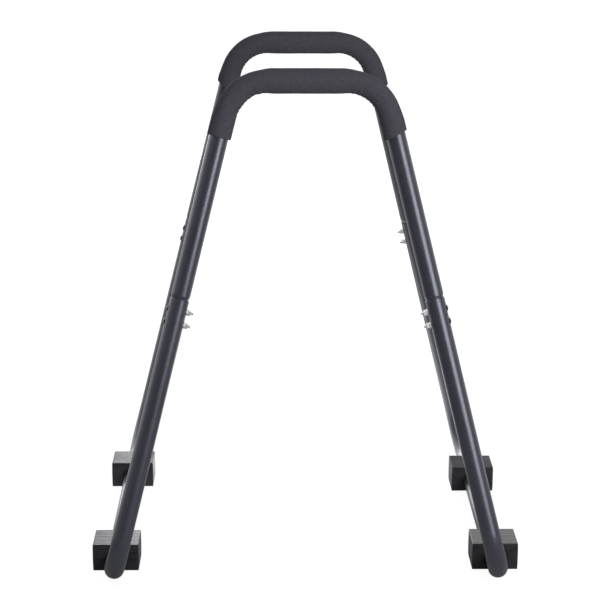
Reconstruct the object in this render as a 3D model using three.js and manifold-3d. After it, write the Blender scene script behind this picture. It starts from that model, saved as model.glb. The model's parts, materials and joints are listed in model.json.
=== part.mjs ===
// Dip station: two padded handles standing on two floor frames, bolted together at the legs.
// Millimetres, +Z up, origin on the floor at the middle of the stand.
// X runs along the handles, Y runs from the front handle to the rear one.

import * as THREE from 'three';
import { mergeVertices } from 'three/addons/utils/BufferGeometryUtils.js';
import Module from 'manifold-3d';

const wasm = await Module();
wasm.setup();

// Overall sizes of the stand
const handleHeight = 1011;
const handleSpacing = 572;
const baseSpacing = 846;
const barStraight = 154.4;
const legSplay = 0.2484;
const jointHeight = 594;

// Steel tube and its bends, measured on the tube's middle line
const tubeDiameter = 38;
const tubeWall = 1.5;
const handleBendRadius = 85;
const footBendRadius = 100;

// Swaged end of each handle leg, which slides into the top of a floor frame
const spigotLength = 78;
const spigotWall = 1.5;
const spigotClearance = 0.3;
const shoulderHeight = 3;
const shoulderBulge = 1.2;
const spigotRoot = 9;

// Foam grip over each handle bar and both of its bends
const gripDiameter = 48;
const gripLegCover = 41.2;
const gripClearance = 0.3;

// Rubber foot blocks threaded on the floor rails, each a gap away from the nearest bend
const footWidth = 93.5;
const footDepth = 80;
const footHeight = 57;
const footSole = 3;
const footCorner = 3;
const footClearance = 0.3;
const frontFootGap = 25;
const rearLeftFootGap = 33;
const rearRightFootGap = 67;

// Carriage bolts, saddle washers and nuts, two sets on each leg
const boltDiameter = 6;
const boltProjection = 5.5;
const boltHeadDiameter = 12.8;
const boltHeadHeight = 2.4;
const boltNeckWidth = boltDiameter + 0.2;
const boltNeckLength = 3.6;
const boltTipChamfer = 0.8;
const boltHoleClearance = 0.3;
const firstBoltDrop = 22.5;
const boltPitch = 26;
const washerDiameter = 12.5;
const washerThickness = 2.2;
const nutWidth = 10;
const nutHeight = 5.2;
const nutChamfer = 0.7;

// Gap between pieces that touch on the real stand
const seatGap = 0.3;

// How far a cut runs past a face, and a joined shape runs into its neighbour
const overrun = 1;

// Number of flats and bend steps on round pieces
const tubeSides = 16;
const handleBendSteps = 6;
const footBendSteps = 8;
const boltSides = 10;
const boltHeadSides = 14;
const domeSteps = 3;
const washerSides = 16;
const saddleSides = 48;

// Corners closer together than this are one corner
const mergeDistance = 1e-4;

// Sizes worked out from the ones above
const tubeRadius = tubeDiameter / 2;
const boreRadius = tubeRadius - tubeWall;
const spigotRadius = boreRadius - spigotClearance;
const railHeight = tubeRadius + footClearance + footSole;
const legLean = (baseSpacing - handleSpacing) / 2 / (handleHeight - railHeight);
const handleBendTurn = Math.acos(legSplay / Math.hypot(legSplay, legLean, 1));
const barReach = barStraight / 2 + handleBendRadius * Math.tan(handleBendTurn / 2);
const railOffset = barReach + legSplay * (handleHeight - railHeight);
const footBendTurn = Math.acos(-legLean / Math.hypot(legSplay, legLean, 1));
const railHalfStraight = baseSpacing / 2 - footBendRadius * Math.tan(footBendTurn / 2);
const boltSeat = tubeRadius + seatGap;
const nutSeat = boltSeat + washerThickness + seatGap;
const boltLength = boltSeat + nutSeat + nutHeight + boltProjection;

const powderCoat = { color: 0x46464e, roughness: 0.42, metalness: 0.35 };
const foam = { color: 0x2c2c30, roughness: 0.95, metalness: 0 };
const rubber = { color: 0x2a2a2d, roughness: 0.85, metalness: 0 };
const blackSteel = { color: 0x17171a, roughness: 0.4, metalness: 0.5 };
const zinc = { color: 0xb9bbc0, roughness: 0.3, metalness: 0.9 };

const stand = new THREE.Group();

// Adds one named piece to a group
function addPiece(parent, name, geometry, finish) {
  const mesh = new THREE.Mesh(geometry, new THREE.MeshStandardMaterial(finish));
  mesh.name = name;
  parent.add(mesh);
  return mesh;
}

// Turns a closed geometry into a solid for cutting and joining
function toSolid(geometry, matrix = new THREE.Matrix4()) {
  const bare = geometry.clone().applyMatrix4(matrix);
  bare.deleteAttribute('normal');
  bare.deleteAttribute('uv');
  const merged = mergeVertices(bare, mergeDistance);
  return new wasm.Manifold(new wasm.Mesh({
    numProp: 3,
    vertProperties: new Float32Array(merged.attributes.position.array),
    triVerts: new Uint32Array(merged.index.array),
  }));
}

// Turns a solid back into a geometry
function toGeometry(solid) {
  const mesh = solid.getMesh();
  const geometry = new THREE.BufferGeometry();
  geometry.setAttribute('position', new THREE.BufferAttribute(mesh.vertProperties, 3));
  geometry.setIndex(new THREE.BufferAttribute(mesh.triVerts, 1));
  geometry.computeVertexNormals();
  return geometry;
}

// Corner radius of a many-sided hole whose flats clear a round piece of the given radius
function holeRadius(radius, sides) {
  return radius / Math.cos(Math.PI / sides);
}

// Straight runs joined by round bends, with a station at each end and along each bend
class BentPath extends THREE.Curve {
  constructor(corners, bendRadius, bendSteps) {
    super();
    this.points = [corners[0].clone()];
    this.tangents = [corners[1].clone().sub(corners[0]).normalize()];
    for (let i = 1; i < corners.length - 1; i += 1) {
      this.addBend(corners[i - 1], corners[i], corners[i + 1], bendRadius, bendSteps);
    }
    this.points.push(corners.at(-1).clone());
    this.tangents.push(corners.at(-1).clone().sub(corners.at(-2)).normalize());
  }

  addBend(before, corner, after, radius, steps) {
    const inward = corner.clone().sub(before).normalize();
    const outward = after.clone().sub(corner).normalize();
    const turn = inward.angleTo(outward);
    const side = outward.clone().addScaledVector(inward, -inward.dot(outward)).normalize();
    const start = corner.clone().addScaledVector(inward, -radius * Math.tan(turn / 2));
    const centre = start.clone().addScaledVector(side, radius);
    for (let step = 0; step <= steps; step += 1) {
      const angle = (turn * step) / steps;
      const point = centre.clone();
      point.addScaledVector(side, -radius * Math.cos(angle));
      point.addScaledVector(inward, radius * Math.sin(angle));
      const tangent = inward.clone().multiplyScalar(Math.cos(angle));
      tangent.addScaledVector(side, Math.sin(angle));
      this.points.push(point);
      this.tangents.push(tangent);
    }
  }

  get steps() {
    return this.points.length - 1;
  }

  getPointAt(u, target = new THREE.Vector3()) {
    return target.copy(this.points[Math.round(u * this.steps)]);
  }

  getTangentAt(u, target = new THREE.Vector3()) {
    return target.copy(this.tangents[Math.round(u * this.steps)]);
  }
}

// A many-sided ring, the section of a tube
function ringShape(outerRadius, innerRadius, sides) {
  const corners = (radius) => Array.from({ length: sides }, (_, i) => {
    const angle = (2 * Math.PI * i) / sides;
    return new THREE.Vector2(radius * Math.cos(angle), radius * Math.sin(angle));
  });
  const ring = new THREE.Shape(corners(outerRadius));
  ring.holes.push(new THREE.Path(corners(innerRadius)));
  return ring;
}

// A tube along a bent path
function bentTube(path, outerRadius, innerRadius) {
  return new THREE.ExtrudeGeometry(ringShape(outerRadius, innerRadius, tubeSides), {
    extrudePath: path,
    steps: path.steps,
  });
}

// A round piece turned about Z from its half outline, given as [radius, height] pairs
function turned(outline, sides) {
  const points = outline.map(([radius, height]) => new THREE.Vector2(radius, height));
  return new THREE.LatheGeometry(points, sides).rotateX(Math.PI / 2);
}

// Where a leg's middle line is at a height: side is -1 left or 1 right, end is -1 front or 1 rear
function legPoint(side, end, height) {
  const drop = handleHeight - height;
  return new THREE.Vector3(
    side * (barReach + legSplay * drop),
    end * (handleSpacing / 2 + legLean * drop),
    height,
  );
}

// A leg's own axes at its joint: local Z up the leg, local X straight outboard
function legFrame(side, end) {
  const up = legPoint(side, end, jointHeight + 1).sub(legPoint(side, end, jointHeight)).normalize();
  const outboard = new THREE.Vector3(side, 0, 0);
  outboard.addScaledVector(up, -up.dot(outboard)).normalize();
  const across = new THREE.Vector3().crossVectors(up, outboard);
  const frame = new THREE.Matrix4().makeBasis(outboard, across, up);
  return frame.setPosition(legPoint(side, end, jointHeight));
}

const sides = [['left', -1], ['right', 1]];
const ends = [['front', -1], ['rear', 1]];
const boltRows = [['upper', -firstBoltDrop], ['lower', -firstBoltDrop - boltPitch]];

// Points along a leg measured from its joint, up the leg
function alongLeg(side, end, distance) {
  return new THREE.Vector3(0, 0, distance).applyMatrix4(legFrame(side, end));
}

// Holes for one leg's bolts: square for the bolt's neck outboard, round inboard
function boltHoles(side, end) {
  const frame = legFrame(side, end);
  const reach = tubeRadius + overrun;
  const squareWidth = boltNeckWidth + 2 * boltHoleClearance;
  const roundRadius = holeRadius(boltDiameter / 2 + boltHoleClearance, boltSides);
  const square = new THREE.BoxGeometry(reach, squareWidth, squareWidth).translate(reach / 2, 0, 0);
  const round = new THREE.CylinderGeometry(roundRadius, roundRadius, reach, boltSides);
  round.rotateZ(Math.PI / 2).translate(-reach / 2, 0, 0);
  return boltRows.flatMap(([, height]) => {
    const place = frame.clone().multiply(new THREE.Matrix4().makeTranslation(0, 0, height));
    return [toSolid(square, place), toSolid(round, place)];
  });
}

// Swaged end of a handle leg: it necks in at a round shoulder and runs down inside the lower tube
function spigot(side, end) {
  const inner = spigotRadius - spigotWall;
  const buried = (tubeRadius * Math.cos(Math.PI / tubeSides) + holeRadius(boreRadius, tubeSides)) / 2;
  const outline = [
    [inner, -spigotLength],
    [spigotRadius, -spigotLength],
    [spigotRadius, seatGap],
    [(spigotRadius + buried) / 2, shoulderBulge],
    [buried, shoulderHeight],
    [buried, spigotRoot],
    [buried - spigotWall, spigotRoot],
    [inner, shoulderHeight + shoulderBulge / 2],
    [inner, -spigotLength],
  ];
  return toSolid(turned(outline, tubeSides), legFrame(side, end));
}

// One handle: leg, bend, bar, bend and leg in one tube, with a spigot at the foot of each leg
function handleTube(end) {
  const corners = [
    alongLeg(-1, end, shoulderHeight),
    legPoint(-1, end, handleHeight),
    legPoint(1, end, handleHeight),
    alongLeg(1, end, shoulderHeight),
  ];
  const path = new BentPath(corners, handleBendRadius, handleBendSteps);
  let solid = toSolid(bentTube(path, tubeRadius, holeRadius(boreRadius, tubeSides)));
  for (const side of [-1, 1]) {
    solid = solid.add(spigot(side, end));
    for (const hole of boltHoles(side, end)) {
      solid = solid.subtract(hole);
    }
  }
  return toGeometry(solid);
}

// One floor frame: leg, bend, floor rail, bend and leg in one tube
function baseTube(side) {
  const corners = [
    legPoint(side, -1, jointHeight),
    legPoint(side, -1, railHeight),
    legPoint(side, 1, railHeight),
    legPoint(side, 1, jointHeight),
  ];
  const path = new BentPath(corners, footBendRadius, footBendSteps);
  let solid = toSolid(bentTube(path, tubeRadius, holeRadius(boreRadius, tubeSides)));
  for (const end of [-1, 1]) {
    for (const hole of boltHoles(side, end)) {
      solid = solid.subtract(hole);
    }
  }
  return toGeometry(solid);
}

// Foam sleeve over a handle's bar, its bends and the tops of its legs
function grip(end) {
  const bendLength = handleBendRadius * Math.tan(handleBendTurn / 2);
  const legUp = (side) => legPoint(side, end, handleHeight).sub(legPoint(side, end, 0)).normalize();
  const cuff = (side) => legPoint(side, end, handleHeight)
    .addScaledVector(legUp(side), -bendLength - gripLegCover);
  const corners = [
    cuff(-1),
    legPoint(-1, end, handleHeight),
    legPoint(1, end, handleHeight),
    cuff(1),
  ];
  const path = new BentPath(corners, handleBendRadius, handleBendSteps);
  return bentTube(path, gripDiameter / 2, holeRadius(tubeRadius + gripClearance, tubeSides));
}

// Rubber block with rounded long edges and a hole low down for the rail
function footBlock() {
  const half = footWidth / 2;
  const outline = new THREE.Shape();
  outline.moveTo(half, footCorner);
  outline.lineTo(half, footHeight - footCorner);
  outline.absarc(half - footCorner, footHeight - footCorner, footCorner, 0, Math.PI / 2);
  outline.lineTo(-half + footCorner, footHeight);
  outline.absarc(-half + footCorner, footHeight - footCorner, footCorner, Math.PI / 2, Math.PI);
  outline.lineTo(-half, footCorner);
  outline.absarc(-half + footCorner, footCorner, footCorner, Math.PI, Math.PI * 1.5);
  outline.lineTo(half - footCorner, 0);
  outline.absarc(half - footCorner, footCorner, footCorner, Math.PI * 1.5, Math.PI * 2);
  const hole = new THREE.Path();
  const radius = holeRadius(tubeRadius + footClearance, tubeSides);
  hole.absarc(0, railHeight, radius, Math.PI / tubeSides, 2 * Math.PI + Math.PI / tubeSides);
  const holeCorners = hole.getPoints(tubeSides / 2).slice(0, -1);
  outline.holes.push(new THREE.Path(holeCorners));
  const geometry = new THREE.ExtrudeGeometry(outline, {
    depth: footDepth,
    bevelEnabled: false,
    curveSegments: 2,
  });
  return geometry.rotateX(Math.PI / 2).translate(0, footDepth, 0);
}

// Carriage bolt along local X: dome head outboard, square neck, shank and chamfered tip
function carriageBolt() {
  const seat = boltSeat;
  const headRadius = boltHeadDiameter / 2;
  const domeRadius = (headRadius ** 2 + boltHeadHeight ** 2) / (2 * boltHeadHeight);
  const domeAngle = Math.asin(headRadius / domeRadius);
  const dome = Array.from({ length: domeSteps + 1 }, (_, i) => {
    const angle = domeAngle * (1 - i / domeSteps);
    const height = seat + boltHeadHeight - domeRadius * (1 - Math.cos(angle));
    return [i === domeSteps ? 0 : domeRadius * Math.sin(angle), height];
  });
  const head = turned([[0, seat], ...dome], boltHeadSides);
  const tip = seat - boltLength;
  const shank = turned([
    [0, tip],
    [boltDiameter / 2 - boltTipChamfer, tip],
    [boltDiameter / 2, tip + boltTipChamfer],
    [boltDiameter / 2, seat + overrun],
    [0, seat + overrun],
  ], boltSides);
  const neckLength = boltNeckLength + overrun;
  const neck = new THREE.BoxGeometry(boltNeckWidth, boltNeckWidth, neckLength);
  neck.translate(0, 0, seat + overrun - neckLength / 2);
  const alongX = new THREE.Matrix4().makeRotationY(Math.PI / 2);
  return toGeometry(toSolid(head, alongX).add(toSolid(neck, alongX)).add(toSolid(shank, alongX)));
}

// Saddle washer: flat outside, hollowed inside to sit on the round tube
function saddleWasher() {
  const outerFace = boltSeat + washerThickness;
  const edgeDepth = tubeRadius - Math.sqrt(tubeRadius ** 2 - (washerDiameter / 2) ** 2);
  const thickness = washerThickness + edgeDepth;
  const disc = new THREE.CylinderGeometry(
    washerDiameter / 2, washerDiameter / 2, thickness, washerSides);
  disc.rotateZ(Math.PI / 2).translate(-outerFace + thickness / 2, 0, 0);
  const saddleRadius = holeRadius(boltSeat, saddleSides);
  const saddle = new THREE.CylinderGeometry(
    saddleRadius, saddleRadius, washerDiameter + 2 * overrun, saddleSides);
  saddle.rotateX(Math.PI / 2);
  const boreSize = holeRadius(boltDiameter / 2 + boltHoleClearance, boltSides);
  const bore = new THREE.CylinderGeometry(boreSize, boreSize, washerDiameter, boltSides);
  bore.rotateZ(Math.PI / 2).translate(-outerFace, 0, 0);
  return toGeometry(toSolid(disc).subtract(toSolid(saddle)).subtract(toSolid(bore)));
}

// Hexagon nut with chamfered corners on its outer face
function hexNut() {
  const inner = nutSeat;
  const cornerRadius = nutWidth / Math.sqrt(3);
  const blank = new THREE.CylinderGeometry(cornerRadius, cornerRadius, nutHeight, 6);
  blank.rotateZ(Math.PI / 2).translate(-inner - nutHeight / 2, 0, 0);
  const chamfer = turned([
    [0, -inner - nutHeight - overrun],
    [cornerRadius - nutChamfer - overrun, -inner - nutHeight - overrun],
    [cornerRadius + nutChamfer, -inner - nutHeight + 2 * nutChamfer],
    [cornerRadius + nutChamfer, -inner + overrun],
    [0, -inner + overrun],
  ], washerSides);
  const boreSize = holeRadius(boltDiameter / 2 + boltHoleClearance, boltSides);
  const boreLength = nutHeight + 2 * overrun;
  const bore = new THREE.CylinderGeometry(boreSize, boreSize, boreLength, boltSides);
  bore.rotateZ(Math.PI / 2).translate(-inner - nutHeight / 2, 0, 0);
  const alongX = new THREE.Matrix4().makeRotationY(Math.PI / 2);
  return toGeometry(toSolid(blank).intersect(toSolid(chamfer, alongX)).subtract(toSolid(bore)));
}

for (const [endName, end] of ends) {
  addPiece(stand, `${endName}_handle_tube`, handleTube(end), powderCoat);
  addPiece(stand, `${endName}_grip`, grip(end), foam);
}

for (const [sideName, side] of sides) {
  addPiece(stand, `${sideName}_base_tube`, baseTube(side), powderCoat);
}

const footFronts = {
  front_left: -railHalfStraight + frontFootGap,
  front_right: -railHalfStraight + frontFootGap,
  rear_left: railHalfStraight - rearLeftFootGap - footDepth,
  rear_right: railHalfStraight - rearRightFootGap - footDepth,
};

for (const [endName, end] of ends) {
  for (const [sideName, side] of sides) {
    const corner = `${endName}_${sideName}`;
    const foot = addPiece(stand, `${corner}_foot`, footBlock(), rubber);
    foot.position.set(side * railOffset, footFronts[corner], 0);
    const leg = new THREE.Group();
    leg.applyMatrix4(legFrame(side, end));
    stand.add(leg);
    for (const [rowName, height] of boltRows) {
      const label = `${corner}_${rowName}`;
      addPiece(leg, `${label}_bolt`, carriageBolt(), blackSteel).position.z = height;
      addPiece(leg, `${label}_washer`, saddleWasher(), zinc).position.z = height;
      addPiece(leg, `${label}_nut`, hexNut(), zinc).position.z = height;
    }
  }
}

export default stand;
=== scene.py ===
"""Dip station: models the stand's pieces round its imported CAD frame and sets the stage."""

import json
import math

import bpy
from mathutils import Matrix, Vector, noise


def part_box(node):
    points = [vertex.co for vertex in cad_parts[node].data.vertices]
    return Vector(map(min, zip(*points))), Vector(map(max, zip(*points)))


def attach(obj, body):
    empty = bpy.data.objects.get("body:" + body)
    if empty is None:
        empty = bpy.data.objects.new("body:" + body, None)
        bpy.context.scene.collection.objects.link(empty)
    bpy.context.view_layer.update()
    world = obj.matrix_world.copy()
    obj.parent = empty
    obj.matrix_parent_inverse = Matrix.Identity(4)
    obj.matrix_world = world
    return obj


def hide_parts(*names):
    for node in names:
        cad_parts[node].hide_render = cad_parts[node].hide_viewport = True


bl_info = {
    "name": "Dip station",
    "version": (1, 0, 0),
    "blender": (4, 5, 0),
    "location": "3D View > Sidebar > Dip Station",
    "description": "Models a dip station of bent steel tube with foam grips and rubber foot blocks",
    "category": "Object",
}

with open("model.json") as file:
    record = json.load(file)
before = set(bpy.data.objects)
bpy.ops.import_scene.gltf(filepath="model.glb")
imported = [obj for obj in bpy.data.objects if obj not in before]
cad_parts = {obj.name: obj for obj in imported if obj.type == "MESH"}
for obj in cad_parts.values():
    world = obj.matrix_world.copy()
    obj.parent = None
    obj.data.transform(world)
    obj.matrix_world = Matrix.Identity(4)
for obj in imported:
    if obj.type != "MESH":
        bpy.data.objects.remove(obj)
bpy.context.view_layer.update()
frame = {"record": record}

SIDES = (("left", -1), ("right", 1))
ENDS = (("front", -1), ("rear", 1))
CORNERS = [
    (end_name + "_" + side_name, end, side) for end_name, end in ENDS for side_name, side in SIDES
]
BODY_OF = {
    node: body
    for body, nodes in frame["record"]["behaviour"]["bodies"].items()
    for node in nodes
}

# How finely round shapes are drawn, and how close counts as touching
TUBE_SIDES = 64
GRIP_SIDES = 96
BORE_SIDES = 40
DRILL_SIDES = 32
WASHER_SIDES = 64
SADDLE_SIDES = 192
BARREL_SIDES = 72
HANDLE_BEND_STEPS = 24
FLOOR_BEND_STEPS = 32
MERGE_DISTANCE = 1e-6
NEAR = 1e-5

# Rings along a grip's half bar, a bend and a leg cover, outside and inside the foam
FOAM_STEPS = {"bar": (42, 6), "bend": (54, 18), "leg": (24, 4)}

# Where nearly all of a noise texture's values lie
GRAIN_RANGE = (0.3, 0.7)

# The photograph's view: place, then turns about the upright, the crosswise and the view axis
CAMERA_POINT = (-0.06835, -3.7971, 1.5340)
CAMERA_YAW = 0.01568
CAMERA_PITCH = 0.26632
CAMERA_ROLL = 0.00303
CAMERA_LENS = 110.68
CAMERA_SENSOR = 36.0

# The floor's width, and how far it lies below the soles
FLOOR_SIZE = 90
FLOOR_GAP = 0.0002

# Name, place, target, width, height and watts of each studio light
SOFTBOXES = (
    ("key_softbox", (1.75, -2.5, 1.12), (0, 0, 0.85), 1.6, 2.1, 62),
    ("top_softbox", (-0.2, -1.2, 3.2), (0, 0, 0.5), 2.0, 1.4, 15),
    ("back_softbox", (-1.6, 5.2, 2.5), (-0.2, 0, 0.1), 3.0, 1.2, 60),
    ("low_softbox", (-1.5, 4.6, 0.55), (0, 0, 0.05), 2.2, 0.9, 24),
)


# Sizes and colours that a user would change

def number(name, description, default, **unit):
    """A number, without a unit if none is given."""
    return bpy.props.FloatProperty(
        name=name, description=description, default=default, precision=4, **unit)


def length(name, description, default):
    """A length in metres."""
    return number(name, description, default, min=0.0, subtype="DISTANCE", unit="LENGTH")


def colour(name, description, default):
    """A linear colour."""
    return bpy.props.FloatVectorProperty(
        name=name, description=description, default=default, size=3, min=0.0, max=1.0,
        subtype="COLOR")


class DipStandSizes(bpy.types.PropertyGroup):
    """Overall sizes of the stand and its tube."""

    handle_height: length("Bar height", "Floor to the middle of the bars", 1.011)
    handle_spacing: length("Bar spacing", "Between the middles of the two bars", 0.572)
    base_spacing: length("Leg spacing", "Between front and rear legs at the rails", 0.846)
    bar_straight: length("Bar straight", "Straight part of each bar", 0.1544)
    leg_splay: number("Leg splay", "Sideways run of a leg for each unit of drop", 0.2484)
    joint_height: length("Joint height", "Floor to the top of the floor frames", 0.594)
    tube_diameter: length("Tube", "Outer diameter of the steel tube", 0.038)
    tube_wall: length("Tube wall", "Wall of the steel tube", 0.0015)
    handle_bend_radius: length("Bar bend", "Radius of the handle bends", 0.085)
    foot_bend_radius: length("Floor bend", "Radius of the floor frame bends", 0.100)
    spigot_length: length("Swaged end", "Length of handle leg inside a floor frame", 0.078)
    spigot_clearance: length("Swage gap", "Gap round a swaged end", 0.0003)
    shoulder_height: length("Shoulder", "Height of the shoulder above a swaged end", 0.010)
    bend_flattening: number("Oval bends", "How much wider a tube is round a floor bend", 0.06)


class DipGripSizes(bpy.types.PropertyGroup):
    """Sizes of the foam grips."""

    diameter: length("Grip", "Outer diameter of the foam", 0.048)
    leg_cover: length("Leg cover", "Foam below each bend", 0.0412)
    clearance: length("Grip gap", "Gap between foam and tube", 0.0003)
    outer_thinning: length("Stretch", "Foam lost outside a bend", 0.0034)
    inner_crowding: length("Crowding", "Foam gained inside a bend", 0.0003)
    wrinkle_depth: length("Wrinkle depth", "Depth of wrinkles inside a bend", 0.00035)
    wrinkle_pitch: length("Wrinkle pitch", "Distance between wrinkles", 0.013)
    edge_round: length("Cut edge", "Rounding of the cut ends", 0.0012)


class DipFootSizes(bpy.types.PropertyGroup):
    """Sizes of the rubber foot blocks."""

    corner: length("Corner", "Rounding of the block's edges", 0.0014)
    ridge_pitch: length("Ridge pitch", "Distance between the ridges on top", 0.008)
    ridge_depth: length("Ridge depth", "Depth of the grooves on top", 0.0010)
    side_bulge: length("Side bulge", "How far each side swells at half height", 0.0004)
    hole_clearance: length("Hole gap", "Gap between rubber and rail", 0.0003)
    mouth_chamfer: length("Mouth", "Chamfer at the mouths of the hole", 0.0009)


class DipFastenerSizes(bpy.types.PropertyGroup):
    """Sizes of the carriage bolts, saddle washers and nuts."""

    bolt_diameter: length("Bolt", "Diameter of the bolts", 0.006)
    bolt_projection: length("Bolt end", "Bolt that stands out of its nut", 0.0055)
    head_diameter: length("Head", "Diameter of the dome heads", 0.0128)
    head_height: length("Head height", "Height of the dome heads", 0.0024)
    neck_width: length("Neck width", "Width of the square necks", 0.0062)
    neck_length: length("Neck length", "Length of the square necks", 0.0036)
    thread_pitch: length("Thread pitch", "Distance between threads", 0.001)
    thread_depth: length("Thread depth", "Depth of the threads", 0.0003)
    first_drop: length("First bolt", "Top of the floor frame to the upper bolt", 0.0225)
    pitch: length("Bolt pitch", "Upper bolt to lower bolt", 0.026)
    hole_clearance: length("Bolt gap", "Gap round a bolt", 0.0003)
    washer_diameter: length("Washer", "Diameter of the saddle washers", 0.0125)
    washer_thickness: length("Washer middle", "Thickness of a washer at its middle", 0.0022)
    nut_width: length("Nut", "Width of the nuts across flats", 0.010)
    nut_height: length("Nut height", "Height of the nuts", 0.0052)
    seat_gap: length("Seat gap", "Gap between pieces that touch", 0.0003)


class DipFinishes(bpy.types.PropertyGroup):
    """Colours of the finishes."""

    coat: colour("Powder coat", "Satin coat of the tubes", (0.030, 0.031, 0.042))
    foam: colour("Foam", "Foam of the grips", (0.055, 0.053, 0.066))
    rubber: colour("Rubber", "Rubber of the foot blocks", (0.016, 0.016, 0.019))
    bolt: colour("Black steel", "Bolts", (0.028, 0.028, 0.032))
    zinc: colour("Zinc", "Nuts and washers", (0.72, 0.72, 0.72))
    floor: colour("Floor", "Floor of the stage", (0.90, 0.90, 0.90))


# Where things are on the stand

class StandShape:
    """Points and directions worked out from the stand's sizes."""

    def __init__(self):
        self.sizes = bpy.context.scene.dip_stand
        sizes = self.sizes
        self.radius = sizes.tube_diameter / 2
        self.bore = self.radius - sizes.tube_wall
        self.fasteners = bpy.context.scene.dip_fasteners
        gap = self.fasteners.seat_gap
        self.head_seat = self.radius + gap
        self.nut_seat = self.head_seat + self.fasteners.washer_thickness + gap
        first = self.fasteners.first_drop
        self.bolt_drops = {"upper": first, "lower": first + self.fasteners.pitch}
        self.rail_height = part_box("left_base_tube")[0].z + self.radius
        drop = sizes.handle_height - self.rail_height
        self.lean = (sizes.base_spacing - sizes.handle_spacing) / 2 / drop
        slope = Vector((sizes.leg_splay, self.lean, 1)).length
        self.handle_turn = math.acos(sizes.leg_splay / slope)
        self.foot_turn = math.acos(-self.lean / slope)
        corner = sizes.handle_bend_radius * math.tan(self.handle_turn / 2)
        self.bar_reach = sizes.bar_straight / 2 + corner
        self.rail_offset = self.bar_reach + sizes.leg_splay * drop
        corner = sizes.foot_bend_radius * math.tan(self.foot_turn / 2)
        self.rail_half = sizes.base_spacing / 2 - corner

    def leg_point(self, side, end, height):
        """A point on a leg's middle line."""
        drop = self.sizes.handle_height - height
        return Vector((
            side * (self.bar_reach + self.sizes.leg_splay * drop),
            end * (self.sizes.handle_spacing / 2 + self.lean * drop),
            height,
        ))

    def leg_down(self, side, end):
        """The direction down a leg."""
        return Vector((side * self.sizes.leg_splay, end * self.lean, -1)).normalized()

    def leg_frame(self, side, end):
        """A leg's own axes at its joint: Z up the leg, X straight outboard."""
        up = -self.leg_down(side, end)
        outboard = Vector((side, 0, 0))
        outboard = (outboard - up * up.dot(outboard)).normalized()
        across = up.cross(outboard)
        turn = Matrix((outboard, across, up)).transposed().to_4x4()
        joint = self.leg_point(side, end, self.sizes.joint_height)
        return Matrix.Translation(joint) @ turn

    def bolt_places(self):
        """Name and place of each bolt: X straight outboard, Z up the leg."""
        return [
            (corner + "_" + row,
             self.leg_frame(side, end) @ Matrix.Translation((0, 0, -drop)))
            for corner, end, side in CORNERS for row, drop in self.bolt_drops.items()
        ]

    def bolt_rings(self):
        """Distances below a joint where a tube gets rings of edges above and below its bolts."""
        margin = self.fasteners.bolt_diameter * 1.2
        return [drop + way * margin for drop in self.bolt_drops.values() for way in (-1, 1)]


# Modelling helpers

def clear_selection():
    """Leaves object mode on and nothing selected."""
    if bpy.context.object and bpy.context.object.mode != "OBJECT":
        bpy.ops.object.mode_set(mode="OBJECT")
    bpy.ops.object.select_all(action="DESELECT")


def pick(piece):
    """Selects one piece and nothing else."""
    clear_selection()
    piece.select_set(True)
    bpy.context.view_layer.objects.active = piece


def facing(point, direction):
    """A place at a point whose Z looks along a direction."""
    return Matrix.Translation(point) @ direction.to_track_quat("Z", "Y").to_matrix().to_4x4()


def placed():
    """The new primitive, with its place moved into its mesh."""
    piece = bpy.context.object
    pick(piece)
    bpy.ops.object.transform_apply(location=True, rotation=True, scale=True)
    return piece


def add_cylinder(radius, depth, point, direction, sides):
    """Adds a closed cylinder centred on a point."""
    clear_selection()
    place = facing(Vector(point), Vector(direction))
    bpy.ops.mesh.primitive_cylinder_add(
        vertices=sides, radius=radius, depth=depth,
        location=place.translation, rotation=place.to_euler())
    return placed()


def add_block(size, point):
    """Adds a box centred on a point."""
    clear_selection()
    bpy.ops.mesh.primitive_cube_add(size=1, location=point, scale=size)
    return placed()


def apply_modifier(piece, kind, **settings):
    """Adds a modifier with its settings, and applies it."""
    pick(piece)
    modifier = piece.modifiers.new(kind, kind)
    for name, value in settings.items():
        setattr(modifier, name, value)
    bpy.ops.object.modifier_apply(modifier=modifier.name)


def cut(piece, tool, operation="DIFFERENCE"):
    """Cuts, joins or keeps what a tool covers, and removes the tool."""
    apply_modifier(piece, "BOOLEAN", operation=operation, solver="EXACT", object=tool)
    bpy.data.objects.remove(tool, do_unlink=True)


def join(pieces):
    """Joins several tools into one."""
    pick(pieces[0])
    for piece in pieces:
        piece.select_set(True)
    bpy.ops.object.join()
    return pieces[0]


def mirror(piece, axis):
    """Mirrors half a piece about the middle of the stand, and merges the two halves."""
    axes = [name == axis for name in "XYZ"]
    apply_modifier(piece, "MIRROR", use_axis=axes, merge_threshold=NEAR)


def tidy_mesh(piece):
    """Merges doubles and turns every face outwards."""
    pick(piece)
    bpy.ops.object.mode_set(mode="EDIT")
    bpy.ops.mesh.select_all(action="SELECT")
    bpy.ops.mesh.remove_doubles(threshold=MERGE_DISTANCE)
    bpy.ops.mesh.normals_make_consistent(inside=False)
    bpy.ops.object.mode_set(mode="OBJECT")


def select_parts(piece, kind, test):
    """Selects the vertices or edges that pass a test, and opens edit mode on them."""
    pick(piece)
    bpy.ops.object.mode_set(mode="EDIT")
    bpy.ops.mesh.select_mode(type=kind)
    bpy.ops.mesh.select_all(action="DESELECT")
    bpy.ops.object.mode_set(mode="OBJECT")
    mesh = piece.data
    if kind == "VERT":
        for vertex in mesh.vertices:
            vertex.select = test(vertex.co)
    else:
        for edge in mesh.edges:
            edge.select = test(*(mesh.vertices[index].co for index in edge.vertices))
    bpy.ops.object.mode_set(mode="EDIT")


def leave_edit():
    """Goes back to selecting vertices, in object mode."""
    bpy.ops.mesh.select_mode(type="VERT")
    bpy.ops.object.mode_set(mode="OBJECT")


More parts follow.
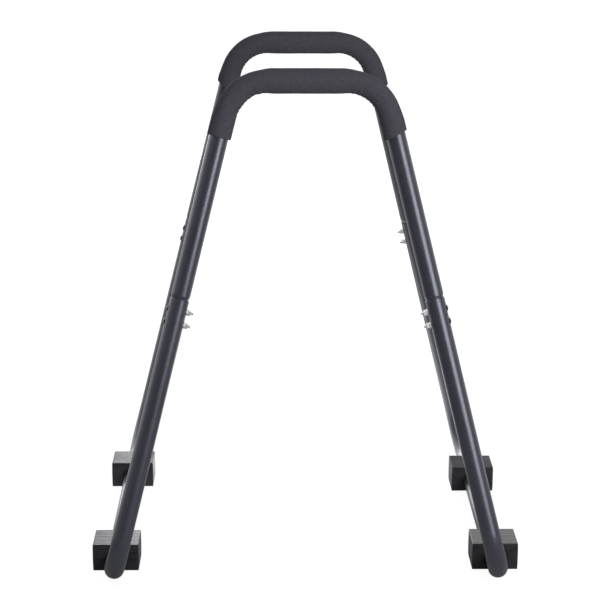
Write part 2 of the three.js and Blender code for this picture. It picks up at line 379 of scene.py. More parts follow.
def soften(piece, test, offset, segments=2):
    """Bevels the edges that pass a test."""
    select_parts(piece, "EDGE", test)
    bpy.ops.mesh.bevel(offset=offset, segments=segments, affect="EDGES")
    leave_edit()


def copy_at(master, place):
    """A copy of a piece, with its mesh moved to a place."""
    copy = master.copy()
    copy.data = master.data.copy()
    bpy.context.collection.objects.link(copy)
    copy.data.transform(place)
    return copy


class TubeBender:
    """Draws a ring of edges along a middle line, straight on, round bends and to new radii."""

    def __init__(self, radius, sides, point, heading, fill="NOTHING"):
        clear_selection()
        self.point = Vector(point)
        self.heading = Vector(heading).normalized()
        self.radius = radius
        place = facing(self.point, self.heading)
        bpy.ops.mesh.primitive_circle_add(
            vertices=sides, radius=radius, fill_type=fill,
            location=self.point, rotation=place.to_euler())
        self.piece = placed()
        bpy.ops.object.mode_set(mode="EDIT")
        bpy.ops.mesh.select_mode(type="VERT")
        bpy.ops.mesh.select_all(action="SELECT")

    def forward(self, distance, steps=1):
        """Runs straight on, or back where the distance is negative."""
        step = self.heading * (distance / steps)
        for _ in range(steps):
            bpy.ops.mesh.extrude_region_move(TRANSFORM_OT_translate={"value": step})
            self.point += step

    def bend(self, centre, axis, angle, steps):
        """Turns about a centre by the right-hand rule; the spin operator counts the other way."""
        bpy.ops.mesh.spin(steps=steps, angle=-angle, center=centre, axis=axis)
        turn = Matrix.Rotation(angle, 3, axis)
        self.point = centre + turn @ (self.point - centre)
        self.heading = turn @ self.heading

    def grow(self, radius):
        """Gives the last ring a new radius."""
        factor = radius / self.radius
        bpy.ops.transform.resize(value=(factor,) * 3, center_override=self.point)
        self.radius = radius

    def profile(self, stations):
        """Runs through pairs of distance and radius, counted from here."""
        done = 0.0
        for distance, radius in stations:
            self.forward(distance - done)
            self.grow(radius)
            done = distance

    def finish(self, axis=None):
        """Cleans the piece and hands it over, mirrored first if it is half a piece."""
        bpy.ops.object.mode_set(mode="OBJECT")
        if axis:
            mirror(self.piece, axis)
        tidy_mesh(self.piece)
        return self.piece


def bend_facts(start, heading, out, radius):
    """Centre and axis of the bend that turns one heading into another."""
    inward = (out - heading * heading.dot(out)).normalized()
    return start + inward * radius, heading.cross(out).normalized()


def stand_for(piece, prefix, node, materials, smooth=30):
    """Names a finished piece, paints it and lets it stand for its CAD node."""
    tidy_mesh(piece)
    pick(piece)
    bpy.ops.object.shade_smooth_by_angle(angle=math.radians(smooth))
    piece.name = piece.data.name = prefix + node
    for material in materials:
        piece.data.materials.append(material)
    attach(piece, BODY_OF[node])
    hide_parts(node)


# Finishes

def add_node(tree, kind, values=None, **settings):
    """Adds a shader node with some of its inputs and settings given."""
    node = tree.nodes.new(kind)
    for name, value in settings.items():
        setattr(node, name, value)
    for socket, value in (values or {}).items():
        node.inputs[socket].default_value = value
    return node


def map_range(tree, start, stop, low, high, **settings):
    """Adds a node that maps start to stop on to low to high, and no further."""
    values = {"From Min": start, "From Max": stop, "To Min": low, "To Max": high}
    return add_node(tree, "ShaderNodeMapRange", values, **settings)


class Finish:
    """A node material that starts from a bare shader."""

    def __init__(self, name):
        self.material = bpy.data.materials.new(name)
        self.material.use_nodes = True
        self.tree = self.material.node_tree
        self.tree.nodes.clear()
        self.output = self.add("ShaderNodeOutputMaterial")
        self.shader = self.add("ShaderNodeBsdfPrincipled")
        self.link(self.shader, "BSDF", self.output, "Surface")
        self.coords = self.add("ShaderNodeTexCoord")

    def add(self, kind, values=None, **settings):
        return add_node(self.tree, kind, values, **settings)

    def link(self, source, output, target, socket):
        self.tree.links.new(source.outputs[output], target.inputs[socket])

    def gloss(self, level, grain, smoothest, roughest):
        """Sets the strength of the mirror light, and the range of roughness over a grain."""
        self.shader.inputs["Specular IOR Level"].default_value = level
        roughness = self.spread(grain, smoothest, roughest)
        self.link(roughness, "Result", self.shader, "Roughness")

    def grain(self, scale, detail=2.0, stretch=(1, 1, 1), roughness=0.5):
        """Noise on the piece's own coordinates, with its scale in spots per metre."""
        mapping = self.add("ShaderNodeMapping", {"Scale": stretch})
        self.link(self.coords, "Object", mapping, "Vector")
        values = {"Scale": scale, "Detail": detail, "Roughness": roughness}
        grain = self.add("ShaderNodeTexNoise", values)
        self.link(mapping, "Vector", grain, "Vector")
        return grain

    def spread(self, grain, low, high, start=GRAIN_RANGE[0], stop=GRAIN_RANGE[1], output="Fac"):
        """Maps a grain to a range of values."""
        spread = map_range(self.tree, start, stop, low, high)
        self.link(grain, output, spread, "Value")
        return spread

    def paint(self, name, dark, light, grain):
        """Blends a darker and a lighter shade of one of the colours by a grain."""
        value = getattr(bpy.context.scene.dip_finishes, name)
        ramp = self.add("ShaderNodeValToRGB")
        for point, place, factor in zip(ramp.color_ramp.elements, GRAIN_RANGE, (dark, light)):
            point.position = place
            point.color = (*(min(1.0, part * factor) for part in value), 1)
        self.link(grain, "Fac", ramp, "Fac")
        self.link(ramp, "Color", self.shader, "Base Color")

    def bump(self, grain, distance, strength=1.0, after=None, output="Fac"):
        """Raises a grain by a distance in metres, on top of another bump if one is given."""
        bump = self.add("ShaderNodeBump", {"Distance": distance, "Strength": strength})
        self.link(grain, output, bump, "Height")
        if after:
            self.link(after, "Normal", bump, "Normal")
        return bump

    def wear(self, bump):
        self.link(bump, "Normal", self.shader, "Normal")


def powder_coat():
    """Satin powder coat: orange peel, and a little unevenness in colour and gloss."""
    finish = Finish("powder_coat")
    finish.paint("coat", 0.9, 1.12, finish.grain(9, 3))
    finish.gloss(1.0, finish.grain(70, 3), 0.29, 0.36)
    finish.shader.inputs["Specular Tint"].default_value = (0.86, 0.88, 1.0, 1)
    peel = finish.bump(finish.grain(420, 2), 0.00004, 0.5)
    finish.wear(finish.bump(finish.grain(1500, 2), 0.00002, 0.5, peel))
    return finish.material


def cell_foam():
    """Closed-cell foam: fine cells, a mottled tone and hardly any gloss."""
    finish = Finish("cell_foam")
    finish.paint("foam", 0.8, 1.22, finish.grain(330, 4, roughness=0.6))
    finish.shader.inputs["Roughness"].default_value = 0.92
    finish.shader.inputs["Specular IOR Level"].default_value = 0.15
    cells = finish.add("ShaderNodeTexVoronoi", {"Scale": 850})
    finish.link(finish.coords, "Object", cells, "Vector")
    pits = finish.bump(cells, 0.00025, 0.7, output="Distance")
    finish.wear(finish.bump(finish.grain(260, 4, roughness=0.65), 0.0004, 0.6, pits))
    return finish.material


def rubber_finish(name, level, smoothest, roughest):
    """Moulded rubber: faint streaks along the ridges and a fine grain, at a level of gloss."""
    finish = Finish(name)
    finish.paint("rubber", 0.75, 1.5, finish.grain(320, 3, stretch=(0.08, 1, 0.3)))
    finish.gloss(level, finish.grain(120, 3), smoothest, roughest)
    finish.shader.inputs["Specular Tint"].default_value = (0.9, 0.9, 1.0, 1)
    fine = finish.bump(finish.grain(1600, 2), 0.00003, 0.5)
    finish.wear(finish.bump(finish.grain(320, 3, stretch=(0.1, 1, 0.3)), 0.00015, 0.6, fine))
    return finish.material


def moulded_rubber():
    """The glossier rubber of the other three blocks."""
    return rubber_finish("moulded_rubber", 0.38, 0.29, 0.35)


def dull_rubber():
    """Less glossy rubber, which makes the rear right block's top darker."""
    return rubber_finish("dull_rubber", 0.25, 0.5, 0.62)


def black_steel():
    """Black oxide steel: dark, satin and slightly blotched."""
    finish = Finish("black_steel")
    finish.paint("bolt", 0.8, 1.6, finish.grain(300, 3))
    finish.gloss(0.5, finish.grain(700, 3), 0.28, 0.42)
    finish.wear(finish.bump(finish.grain(2200, 2), 0.00002, 0.5))
    return finish.material


def bright_zinc():
    """Bright zinc plate: cloudy gloss with fine marks of turning."""
    finish = Finish("bright_zinc")
    finish.paint("zinc", 0.82, 1.1, finish.grain(500, 3))
    finish.shader.inputs["Metallic"].default_value = 0.7
    finish.gloss(0.5, finish.grain(900, 3), 0.34, 0.5)
    finish.wear(finish.bump(finish.grain(2600, 2), 0.00002, 0.5))
    return finish.material


def painted(*makers):
    """The finishes that some functions make, each made once."""
    return [bpy.data.materials.get(make.__name__) or make() for make in makers]


# Pieces

def round_swage(shape):
    """Shoulder and swaged end of a handle leg: distance past the full tube, and radius."""
    height = shape.sizes.shoulder_height
    narrow = shape.bore - shape.sizes.spigot_clearance
    rings = 10
    neck = 0.8
    return [
        (height * part, shape.radius - (shape.radius - narrow) * min(1.0, part / neck) ** 2)
        for part in ((ring + 1) / rings for ring in range(rings))
    ]


def drill(piece, shape, part):
    """Cuts the bolt holes of the legs with a part in their names: square for the bolt's neck
    outboard, round inboard."""
    fasteners = shape.fasteners
    reach = shape.radius * 1.05
    gap = fasteners.hole_clearance
    width = fasteners.neck_width + 2 * gap
    radius = fasteners.bolt_diameter / 2 + gap
    tools = []
    for name, place in shape.bolt_places():
        if part in name:
            square = add_block((reach, width, width), (reach / 2, 0, 0))
            hole = add_cylinder(radius, reach, (-reach / 2, 0, 0), (1, 0, 0), DRILL_SIDES)
            for tool in (square, hole):
                tool.data.transform(place)
                tools.append(tool)
    cut(piece, join(tools))


def run_past(bender, distances, sign=1):
    """Runs straight on with a ring at each distance."""
    done = 0.0
    for distance in distances:
        bender.forward(sign * (distance - done))
        done = distance


class DIP_OT_handle_tubes(bpy.types.Operator):
    """Bend the two handle tubes, with a swaged end on each leg"""

    bl_idname = "dip.handle_tubes"
    bl_label = "Handle tubes"

    def execute(self, context):
        shape = StandShape()
        sizes = shape.sizes
        for end_name, end in ENDS:
            middle = Vector((0, end * sizes.handle_spacing / 2, sizes.handle_height))
            bender = TubeBender(shape.radius, TUBE_SIDES, middle, (1, 0, 0))
            half = sizes.bar_straight / 2
            bender.forward(half)
            down = shape.leg_down(1, end)
            bend = bend_facts(bender.point, bender.heading, down, sizes.handle_bend_radius)
            bender.bend(*bend, shape.handle_turn, HANDLE_BEND_STEPS)
            joint = shape.leg_point(1, end, sizes.joint_height)
            leg = (joint - bender.point).length - sizes.shoulder_height
            bender.forward(leg)
            bender.profile(round_swage(shape))
            narrow = bender.radius
            rings = shape.bolt_rings()
            edge = sizes.tube_wall / 2
            run_past(bender, rings + [sizes.spigot_length - edge])
            bender.profile([(edge, narrow - edge), (edge, narrow - sizes.tube_wall)])
            back = [sizes.spigot_length - distance for distance in reversed(rings)]
            run_past(bender, back + [sizes.spigot_length], -1)
            bender.forward(-sizes.shoulder_height)
            bender.grow(shape.bore)
            bender.forward(-leg)
            bender.bend(*bend, -shape.handle_turn, HANDLE_BEND_STEPS)
            bender.forward(-half)
            piece = bender.finish("X")
            drill(piece, shape, end_name)
            node = end_name + "_handle_tube"
            stand_for(piece, "coated_", node, painted(powder_coat))
        return {"FINISHED"}


def flatten_bends(piece, start, bend, turn, sizes):
    """Makes a floor frame's bends oval: wider across the bend, and flatter in its plane."""
    centre, axis = bend
    upright = (start - centre).normalized()
    for vertex in piece.data.vertices:
        rear = 1 if vertex.co.y > 0 else -1
        arm = Vector((vertex.co.x, abs(vertex.co.y), vertex.co.z)) - centre
        across = arm.dot(axis)
        in_plane = arm - axis * across
        angle = math.atan2(in_plane.y, in_plane.dot(upright))
        share = math.sin(math.pi * min(max(angle / turn, 0.0), 1.0)) ** 2
        depth = in_plane.length - sizes.foot_bend_radius
        move = axis * (across * sizes.bend_flattening * share)
        move -= in_plane.normalized() * (depth * sizes.bend_flattening / 2 * share)
        move.y *= rear
        vertex.co += move


class DIP_OT_floor_frames(bpy.types.Operator):
    """Bend the two floor frames, open at the tops of their legs"""

    bl_idname = "dip.floor_frames"
    bl_label = "Floor frames"

    def execute(self, context):
        shape = StandShape()
        sizes = shape.sizes
        edge = sizes.tube_wall / 4
        for side_name, side in SIDES:
            middle = Vector((side * shape.rail_offset, 0, shape.rail_height))
            bender = TubeBender(shape.radius, TUBE_SIDES, middle, (0, 1, 0))
            bender.forward(shape.rail_half)
            up = -shape.leg_down(side, 1)
            start = bender.point.copy()
            bend = bend_facts(start, bender.heading, up, sizes.foot_bend_radius)
            bender.bend(*bend, shape.foot_turn, FLOOR_BEND_STEPS)
            joint = shape.leg_point(side, 1, sizes.joint_height)
            leg = (joint - bender.point).length
            rings = shape.bolt_rings()
            run_past(bender, [leg - distance for distance in reversed(rings)] + [leg - edge])
            bender.profile([
                (edge, shape.radius - edge), (edge, shape.bore + edge), (0, shape.bore)])
            run_past(bender, [distance - edge for distance in rings] + [leg - edge], -1)
            bender.bend(*bend, -shape.foot_turn, FLOOR_BEND_STEPS)
            bender.forward(-shape.rail_half)
            piece = bender.finish("Y")
            flatten_bends(piece, start, bend, shape.foot_turn, sizes)
            drill(piece, shape, side_name)
            node = side_name + "_base_tube"
            stand_for(piece, "coated_", node, painted(powder_coat))
        return {"FINISHED"}


class FoamPath:
    """Where a point of a grip lies along its bent middle line, and round it."""

    def __init__(self, shape, end):
        sizes = shape.sizes
        self.start = Vector((
            sizes.bar_straight / 2, end * sizes.handle_spacing / 2, sizes.handle_height))
        self.down = shape.leg_down(1, end)
        self.bend_radius = sizes.handle_bend_radius
        self.turn = shape.handle_turn
        bar = Vector((1, 0, 0))
        self.bend = bend_facts(self.start, bar, self.down, self.bend_radius)
        self.bend_length = self.bend_radius * self.turn

    def locate(self, point):
        """Distance past the start of the bend, and the point's offset from the middle line."""
        centre, axis = self.bend
        arm = Vector((abs(point.x), point.y, point.z)) - centre
        upright = (self.start - centre).normalized()
        angle = math.atan2(arm.x, arm.dot(upright))
        angle = min(max(angle, 0.0), self.turn)
        turned = Matrix.Rotation(angle, 3, axis)
        outward = turned @ upright
        heading = turned @ Vector((1, 0, 0))
        along = self.bend_radius * angle + arm.dot(heading)
        offset = arm - heading * arm.dot(heading) - outward * self.bend_radius
        return along, offset, outward, heading


# Unevenness of the foam in metres: noise as spots per metre and height
CUFF_NOISE = (160, 0.0005)
COARSE_NOISE = (34, 0.00035)
FINE_NOISE = (130, 0.00014)
BAR_SWELL_BELOW = 0.0014
BAR_LOSS_ABOVE = 0.0006
LEG_LOSS_OUTSIDE = 0.0008

# The one deep fold inside a bend: place as a share of the bend, reach and height
FOLD_BULGE = (0.68, 0.014, 0.0010)
FOLD_CREASE = (0.3, 0.006, 0.0012)

# Stretches over which an effect sets in, in metres from a place along a grip
INTO_BEND = (-0.012, 0.018)
OUT_OF_BEND = (-0.015, 0.020)
OFF_BAR = (-0.020, 0.010)
ONTO_LEG = (-0.010, 0.020)
TO_CUFF = (-0.035, 0.0)
AT_CUFF = (-0.006, 0.0)

# How far each cuff slides down its leg, and how much further inside the bend than outside
CUFF_SLIDES = {
    (-1, -1): (0.0030, 0.0010),
    (1, -1): (0.0000, 0.0050),
    (-1, 1): (-0.0040, 0.0080),
    (1, 1): (-0.0030, 0.0010),
}


def rise(stretch, place, along):
    """Rises smoothly from 0 to 1 over a stretch."""
    low, high = (place + reach for reach in stretch)
    part = min(1.0, max(0.0, (along - low) / (high - low)))
    return part * part * (3 - 2 * part)


def lumps(spot, pattern):
    """Noise at a spot, from a pattern of spots per metre and height."""
    return pattern[1] * noise.noise(spot * pattern[0])


def hump(fold, path, along):
    """Height of a fold's bulge or crease."""
    place, reach, height = fold
    return height * math.exp(-((along - place * path.bend_length) / reach) ** 2)


def wrinkle(pitch, side, end, along):
    """A wave whose pitch wanders, and that starts elsewhere at each bend."""
    phase = 1.7 * side + 0.9 * end
    wander = 1.1 * math.sin(70 * along + 2 * phase)
    return math.sin(2 * math.pi * along / pitch + phase + wander)


def press_foam(piece, path, end, grips, sizes):
    """Thins the foam outside its bends, crowds and wrinkles it inside, and makes it uneven."""
    skin = sizes.tube_diameter / 2 + grips.edge_round * 2
    cuff = path.bend_length + grips.leg_cover
    for vertex in piece.data.vertices:
        along, offset, outward, heading = path.locate(vertex.co)
        side = 1 if vertex.co.x > 0 else -1
        spot = vertex.co.copy()
        inside = -offset.dot(outward) / skin
        stretch, slant = CUFF_SLIDES[side, end]
        slide = rise(TO_CUFF, cuff, along) * (stretch + slant * inside)
        slide += rise(AT_CUFF, cuff, along) * lumps(spot, CUFF_NOISE)
        move = heading * slide
        if offset.length > skin:
            lean = offset.normalized().dot(outward)
            outer, inner = max(0.0, lean), max(0.0, -lean)
            in_bend = rise(INTO_BEND, 0, along)
            in_bend *= 1 - rise(OUT_OF_BEND, path.bend_length, along)
            swell = -grips.outer_thinning * in_bend * outer ** 1.5
            wave = grips.wrinkle_depth * wrinkle(grips.wrinkle_pitch, side, end, along)
            swell += in_bend * inner ** 1.5 * (grips.inner_crowding + wave)
            if side < 0 and end < 0:
                swell += inner * (hump(FOLD_BULGE, path, along) - hump(FOLD_CREASE, path, along))
            on_bar = 1 - rise(OFF_BAR, 0, along)
            swell += on_bar * (BAR_SWELL_BELOW * inner - BAR_LOSS_ABOVE * outer)
            swell -= rise(ONTO_LEG, path.bend_length, along) * LEG_LOSS_OUTSIDE * outer
            swell += lumps(spot, COARSE_NOISE) + lumps(spot, FINE_NOISE)
            move += offset.normalized() * swell
        if side < 0:
            move.x = -move.x
        vertex.co += move


class DIP_OT_grips(bpy.types.Operator):
    """Sleeve both bars with foam that is pressed and wrinkled at its bends"""

    bl_idname = "dip.grips"
    bl_label = "Foam grips"

    def execute(self, context):
        shape = StandShape()
        sizes = shape.sizes
        grips = context.scene.dip_grips
        outer = grips.diameter / 2
        inner = shape.radius + grips.clearance
        edge = grips.edge_round
        for end_name, end in ENDS:
            path = FoamPath(shape, end)
            middle = Vector((0, path.start.y, path.start.z))
            half = sizes.bar_straight / 2
            bender = TubeBender(outer, GRIP_SIDES, middle, (1, 0, 0))
            bender.forward(half, FOAM_STEPS["bar"][0])
            bender.bend(*path.bend, path.turn, FOAM_STEPS["bend"][0])
            bender.forward(grips.leg_cover - edge, FOAM_STEPS["leg"][0])
            bender.profile([
                (edge * math.sin(angle), outer - edge * (1 - math.cos(angle)))
                for angle in (math.radians(degrees) for degrees in (30, 60, 90))
            ])
            bender.forward(0)
            bender.grow(inner)
            bender.forward(-grips.leg_cover, FOAM_STEPS["leg"][1])
            bender.bend(*path.bend, -path.turn, FOAM_STEPS["bend"][1])
            bender.forward(-half, FOAM_STEPS["bar"][1])
            piece = bender.finish("X")
            press_foam(piece, path, end, grips, sizes)
            node = end_name + "_grip"
            stand_for(piece, "foam_", node, painted(cell_foam), 60)
        return {"FINISHED"}


# A groove on a block: shares of the ridge pitch and of the depth
GROOVE = ((0.25, 0.55), (0.5, 1.0), (0.75, 0.55))

# An edge that runs over this share of a block runs all along it
WHOLE_RUN = 0.9


def ridge_top(piece, first, pitch, height, feet):
    """Sinks the grooves between the ridges on a block's top."""

    def on_top(share):
        def test(point):
            if point.z < height - NEAR:
                return False
            part = ((point.y - first) / pitch) % 1
            return abs(part - share) < 0.02 or abs(part - 1 - share) < 0.02
        return test

    for share, depth in GROOVE:
        select_parts(piece, "VERT", on_top(share))
        bpy.ops.transform.translate(value=(0, 0, -feet.ridge_depth * depth))
        leave_edit()


def swell_sides(piece, width, height, feet):
    """Gives a block's sides their slight outward bulge."""
    upright = height - 2 * feet.corner
    rows = 8
    select_parts(piece, "EDGE", lambda a, b: abs(a.z - b.z) > upright * WHOLE_RUN)
    bpy.ops.mesh.subdivide(number_cuts=rows - 1)
    leave_edit()
    for row in range(1, rows):
        level = feet.corner + upright * row / rows
        part = 2 * row / rows - 1
        factor = 1 + 2 * feet.side_bulge / width * (1 - part * part)
        select_parts(piece, "VERT", lambda point: abs(point.z - level) < NEAR)
        bpy.ops.transform.resize(value=(factor, 1, 1), center_override=(0, 0, level))
        leave_edit()


class DIP_OT_foot_blocks(bpy.types.Operator):
    """Mould the ridged rubber blocks that the floor frames stand on"""

    bl_idname = "dip.foot_blocks"
    bl_label = "Foot blocks"

    def execute(self, context):
        shape = StandShape()
        feet = context.scene.dip_feet
        low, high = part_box("front_left_foot")
        width, depth, height = high - low
        block = add_block((width, depth, height), (0, 0, height / 2))
        soften(block, lambda a, b: True, feet.corner, 4)
        run = depth - 2 * feet.corner
        select_parts(block, "EDGE", lambda a, b: abs(a.y - b.y) > run * WHOLE_RUN)
        ridges = round(run / feet.ridge_pitch)
        bpy.ops.mesh.subdivide(number_cuts=ridges * 4 - 1)
        leave_edit()
        ridge_top(block, -run / 2, run / ridges, height, feet)
        swell_sides(block, width, height, feet)
        hole = shape.radius + feet.hole_clearance
        middle = (0, 0, shape.rail_height)
        cut(block, add_cylinder(hole, depth * 1.2, middle, (0, 1, 0), GRIP_SIDES))

        def at_mouth(a, b):
            return all(
                abs(math.hypot(point.x, point.z - shape.rail_height) - hole) < 10 * NEAR
                and abs(abs(point.y) - depth / 2) < 10 * NEAR for point in (a, b))

        soften(block, at_mouth, feet.mouth_chamfer)
        for corner, _, _ in CORNERS:
            node = corner + "_foot"
            low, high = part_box(node)
            middle = (low + high) / 2
            foot = copy_at(block, Matrix.Translation((middle.x, middle.y, low.z)))
            # The rear right block gets the less glossy rubber, so that its top looks darker
            rubber = dull_rubber if node == "rear_right_foot" else moulded_rubber
            stand_for(foot, "ridged_", node, painted(rubber), 40)
        bpy.data.objects.remove(block, do_unlink=True)
        return {"FINISHED"}


def place_fasteners(master, prefix, kind, finishes, smooth):
    """Puts a copy of a fastener at each of the eight bolt holes, and removes the master."""
    for name, place in StandShape().bolt_places():
        stand_for(copy_at(master, place), prefix, name + "_" + kind, finishes, smooth)
    bpy.data.objects.remove(master, do_unlink=True)


def bore_through(piece, depth, face):
    """Cuts a bolt hole along X through a washer or nut, and tells its radius."""
    fasteners = bpy.context.scene.dip_fasteners
    bore = fasteners.bolt_diameter / 2 + fasteners.hole_clearance
    cut(piece, add_cylinder(bore, depth, (-face, 0, 0), (1, 0, 0), BORE_SIDES))
    return bore


class DIP_OT_bolts(bpy.types.Operator):
    """Turn the carriage bolts: dome head, square neck and threaded end"""

    bl_idname = "dip.bolts"
    bl_label = "Carriage bolts"

    def execute(self, context):
        shape = StandShape()
        fasteners = shape.fasteners
        tip = shape.nut_seat + fasteners.nut_height + fasteners.bolt_projection
        crest = fasteners.bolt_diameter / 2
        root = crest - fasteners.thread_depth
        tip_radius = root * 0.92
        bender = TubeBender(tip_radius, BORE_SIDES, (-tip, 0, 0), (1, 0, 0), "NGON")
        pitch = fasteners.thread_pitch
        threads = 14
        ridge = ((0.35, root), (0.73, crest), (0.85, crest), (1.23, root))
        stations = [
            (pitch * (thread + share), radius)
            for thread in range(threads) for share, radius in ridge
        ]
        shank_end = tip + shape.head_seat
        stations += [(stations[-1][0] + pitch, crest), (shank_end, crest)]
        bender.profile(stations)
        head = fasteners.head_diameter / 2
        rise = fasteners.head_height
        brim = rise * 0.16
        bender.forward(0)
        bender.grow(head - brim / 2)
        dome_height = rise - brim
        dome = (head * head + dome_height * dome_height) / (2 * dome_height)
        widest = math.asin(head / dome)
        outline = [(brim * 0.35, head), (brim, head)]
        rings = 12
        for ring in range(1, rings):
            angle = widest * (1 - ring / rings)
            height = brim + dome_height - dome * (1 - math.cos(angle))
            outline.append((height, dome * math.sin(angle)))
        outline.append((rise, head * 0.03))
        bender.profile(outline)
        bolt = bender.finish()
        width = fasteners.neck_width
        inside_head = 1e-4
        middle = shape.head_seat - fasteners.neck_length / 2 + inside_head
        neck = add_block((fasteners.neck_length, width, width), (middle, 0, 0))
        cut(bolt, neck, "UNION")
        for face in bolt.data.polygons:
            face.material_index = 1 if face.center.x < 0 else 0
        place_fasteners(bolt, "domed_", "bolt", painted(black_steel, bright_zinc), 35)
        return {"FINISHED"}


class DIP_OT_washers(bpy.types.Operator):
    """Stamp the saddle washers, hollowed to sit on the round tube"""

    bl_idname = "dip.washers"
    bl_label = "Saddle washers"

    def execute(self, context):
        shape = StandShape()
        fasteners = shape.fasteners
        radius = fasteners.washer_diameter / 2
        outer_face = shape.head_seat + fasteners.washer_thickness
        edge = shape.radius - math.sqrt(shape.radius ** 2 - radius ** 2)
        thickness = fasteners.washer_thickness + edge
        washer = add_cylinder(
            radius, thickness, (thickness / 2 - outer_face, 0, 0), (1, 0, 0), WASHER_SIDES)
        saddle = add_cylinder(shape.head_seat, radius * 4, (0, 0, 0), (0, 0, 1), SADDLE_SIDES)
        cut(washer, saddle)
        bore_through(washer, radius * 2, outer_face)

        def on_face(a, b):
            return a.x < NEAR - outer_face and b.x < NEAR - outer_face

        soften(washer, on_face, fasteners.seat_gap)
        place_fasteners(washer, "curved_", "washer", painted(bright_zinc), 35)
        return {"FINISHED"}


class DIP_OT_nuts(bpy.types.Operator):
    """Turn the hexagon nuts, with chamfered corners and countersunk bores"""

    bl_idname = "dip.nuts"
    bl_label = "Hexagon nuts"

    def execute(self, context):
        shape = StandShape()
        fasteners = shape.fasteners
        height = fasteners.nut_height
        corner = fasteners.nut_width / math.sqrt(3)
        outer_face = shape.nut_seat + height
        nut = add_cylinder(corner, height, (height / 2 - outer_face, 0, 0), (1, 0, 0), 6)
        flat = fasteners.nut_width / 2
        face = flat * 0.95
        clear = corner * 1.02
        chamfer = (corner - face) * 0.55
        start = (-outer_face - NEAR, 0, 0)
        bender = TubeBender(face, BARREL_SIDES, start, (1, 0, 0), "NGON")
        bender.profile([
            (chamfer * 1.1, clear),
            (height - chamfer * 0.7, clear),
            (height + 2 * NEAR, flat * 0.98),
        ])
        cut(nut, bender.finish(), "INTERSECT")
        bore = bore_through(nut, height * 3, outer_face)

        def at_bore(a, b):
            return all(
                abs(math.hypot(point.y, point.z) - bore) < NEAR
                and point.x < NEAR - outer_face for point in (a, b))

        soften(nut, at_bore, fasteners.thread_depth)
        place_fasteners(nut, "chamfered_", "nut", painted(bright_zinc), 25)
        return {"FINISHED"}


# Stage

def stage_floor():
    """A pale floor: white where the camera sees it, with the stand's shadow. Seen only in
    reflections, it is
    painted: darker before the stand, and glowing behind it, most of all near the rails, a painted
    reflection that puts bright rims on the rear legs and rails."""
    clear_selection()
    bpy.ops.mesh.primitive_plane_add(size=FLOOR_SIZE, location=(0, 0, -FLOOR_GAP))
    floor = bpy.context.object
    floor.name = "studio_floor"
    finish = Finish("studio_floor")
    finish.tree.nodes.remove(finish.shader)
    pale = (*bpy.context.scene.dip_finishes.floor, 1)
    away = finish.add("ShaderNodeVectorMath", operation="LENGTH")
    finish.link(finish.coords, "Object", away, "Vector")
    depth = finish.add("ShaderNodeSeparateXYZ")
    finish.link(finish.coords, "Object", depth, "Vector")

    def mix(first, second, share=0.5, ray=None):
        mixed = finish.add("ShaderNodeMixShader", {"Fac": share})
        if ray:
            finish.link(path, ray, mixed, "Fac")
        finish.link(first, 0, mixed, 1)
        finish.link(second, 0, mixed, 2)
        return mixed

    def diffuse(shade, source=None):
        part = finish.add("ShaderNodeBsdfDiffuse", {"Color": shade})
        if source:
            finish.link(source, "Result", part, "Color")
        return part

    def glow(strength, reach=None):
        part = finish.add("ShaderNodeEmission")
        finish.link(strength, "Result", part, "Strength")
        if reach:
            finish.link(reach, "Result", part, "Color")
        return part

    path = finish.add("ShaderNodeLightPath")
    seen = mix(
        diffuse(pale), glow(finish.spread(away, 1.17, 1.28, 0.9, 2.6, "Value")), 0.78)
    # Painted reflection, seen only in mirrors: the floor is painted darker before the stand and
    # glows behind it, most of all near the rails, which paints bright rims on the rear legs and
    # rails
    painted_rim_glow = finish.spread(away, 1.0, 0.25, 0.6, 0.9, "Value")
    mirrored = mix(
        diffuse(pale, finish.spread(depth, 0.35, 0.9, -0.9, -0.1, "Y")),
        glow(finish.spread(depth, 0.0, 4.2, 0.0, 0.6, "Y"), painted_rim_glow))
    hidden = diffuse((0.6, 0.6, 0.6, 1))
    choice = mix(hidden, mirrored, ray="Is Glossy Ray")
    final = mix(choice, seen, ray="Is Camera Ray")
    finish.link(final, "Shader", finish.output, "Surface")
    floor.data.materials.append(finish.material)


def stage_world():
    """A white studio: white where it is seen, and mirrored dark on the camera's side."""
    world = bpy.data.worlds.new("studio")
    world.use_nodes = True
    tree = world.node_tree
    background = tree.nodes["Background"]
    background.inputs["Color"].default_value = (1, 1, 1, 1)
    path = add_node(tree, "ShaderNodeLightPath")
    coords = add_node(tree, "ShaderNodeTexCoord")
    towards = add_node(tree, "ShaderNodeVectorMath", operation="DOT_PRODUCT")
    towards.inputs[1].default_value = (0.3, -0.95, 0)

    def link(source, output, target, socket):
        tree.links.new(source.outputs[output], target.inputs[socket])

    def fade(start, stop, low, high, target, socket):
        step = map_range(tree, start, stop, low, high, interpolation_type="SMOOTHSTEP")
        link(towards, "Value", step, "Value")
        link(step, "Result", target, socket)

    link(coords, "Generated", towards, 0)
    mirrored = add_node(tree, "ShaderNodeMath", operation="ADD")
    fade(-0.7, -0.1, 1.5, 0.0, mirrored, 0)
    fade(0.1, 0.9, 0.55, 0.06, mirrored, 1)
    lit = add_node(tree, "ShaderNodeMix", {"A": 0.4})
    link(path, "Is Glossy Ray", lit, "Factor")
    link(mirrored, "Value", lit, "B")
    through = add_node(tree, "ShaderNodeMath", operation="MAXIMUM")
    link(path, "Is Camera Ray", through, 0)
    link(path, "Is Transmission Ray", through, 1)
    seen = add_node(tree, "ShaderNodeMix", {"B": 1.0})
    link(through, 0, seen, "Factor")
    link(lit, "Result", seen, "A")
    link(seen, "Result", background, "Strength")
    bpy.context.scene.world = world


def softbox(name, point, target, width, height, watts):
    """Adds a rectangular studio light that faces a target."""
    clear_selection()
    point = Vector(point)
    bpy.ops.object.light_add(type="AREA", location=point)
    lamp = bpy.context.object
    lamp.name = name
    lamp.rotation_euler = (Vector(target) - point).to_track_quat("-Z", "Y").to_euler()
    lamp.data.shape = "RECTANGLE"
    lamp.data.size = width
    lamp.data.size_y = height
    lamp.data.energy = watts


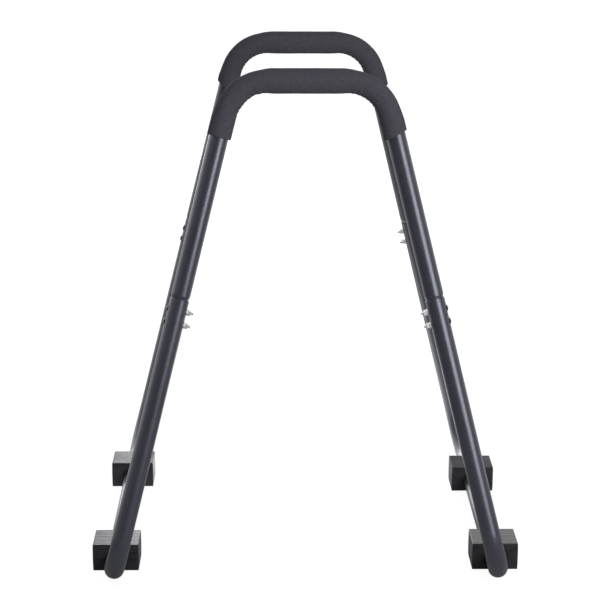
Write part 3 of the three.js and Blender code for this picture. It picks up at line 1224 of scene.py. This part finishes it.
def stage_camera():
    """The photograph's view, for a square picture."""
    clear_selection()
    bpy.ops.object.camera_add()
    camera = bpy.context.object
    camera.name = "photo_view"
    turn = Matrix.Rotation(-CAMERA_YAW, 4, "Z")
    turn @= Matrix.Rotation(math.pi / 2 - CAMERA_PITCH, 4, "X")
    turn @= Matrix.Rotation(CAMERA_ROLL, 4, "Z")
    camera.matrix_world = Matrix.Translation(CAMERA_POINT) @ turn
    camera.data.sensor_width = CAMERA_SENSOR
    camera.data.sensor_fit = "HORIZONTAL"
    camera.data.lens = CAMERA_LENS
    camera.data.clip_end = 200.0
    bpy.context.scene.camera = camera


class DIP_OT_stage(bpy.types.Operator):
    """Set the floor, the studio light and the camera"""

    bl_idname = "dip.stage"
    bl_label = "Stage"

    def execute(self, context):
        stage_floor()
        stage_world()
        for lamp in SOFTBOXES:
            softbox(*lamp)
        stage_camera()
        context.scene.view_settings.view_transform = "Standard"
        return {"FINISHED"}


GROUPS = (
    ("dip_stand", DipStandSizes),
    ("dip_grips", DipGripSizes),
    ("dip_feet", DipFootSizes),
    ("dip_fasteners", DipFastenerSizes),
    ("dip_finishes", DipFinishes),
)
OPERATORS = (
    DIP_OT_handle_tubes,
    DIP_OT_floor_frames,
    DIP_OT_grips,
    DIP_OT_foot_blocks,
    DIP_OT_bolts,
    DIP_OT_washers,
    DIP_OT_nuts,
    DIP_OT_stage,
)


class DIP_PT_panel(bpy.types.Panel):
    """Lists the stand's sizes, colours and pieces"""

    bl_idname = "DIP_PT_panel"
    bl_label = "Dip Station"
    bl_space_type = "VIEW_3D"
    bl_region_type = "UI"
    bl_category = "Dip Station"

    def draw(self, context):
        for name, group in GROUPS:
            box = self.layout.box()
            for size in group.__annotations__:
                box.prop(getattr(context.scene, name), size)
        for operator in OPERATORS:
            self.layout.operator(operator.bl_idname)


def register():
    for name, group in GROUPS:
        bpy.utils.register_class(group)
        setattr(bpy.types.Scene, name, bpy.props.PointerProperty(type=group))
    for operator in OPERATORS:
        bpy.utils.register_class(operator)
    bpy.utils.register_class(DIP_PT_panel)


def unregister():
    bpy.utils.unregister_class(DIP_PT_panel)
    for operator in reversed(OPERATORS):
        bpy.utils.unregister_class(operator)
    for name, group in reversed(GROUPS):
        delattr(bpy.types.Scene, name)
        bpy.utils.unregister_class(group)


def main():
    """Makes every piece and the stage."""
    register()
    bpy.ops.dip.handle_tubes()
    bpy.ops.dip.floor_frames()
    bpy.ops.dip.grips()
    bpy.ops.dip.foot_blocks()
    bpy.ops.dip.bolts()
    bpy.ops.dip.washers()
    bpy.ops.dip.nuts()
    bpy.ops.dip.stage()


if __name__ == "__main__":
    main()
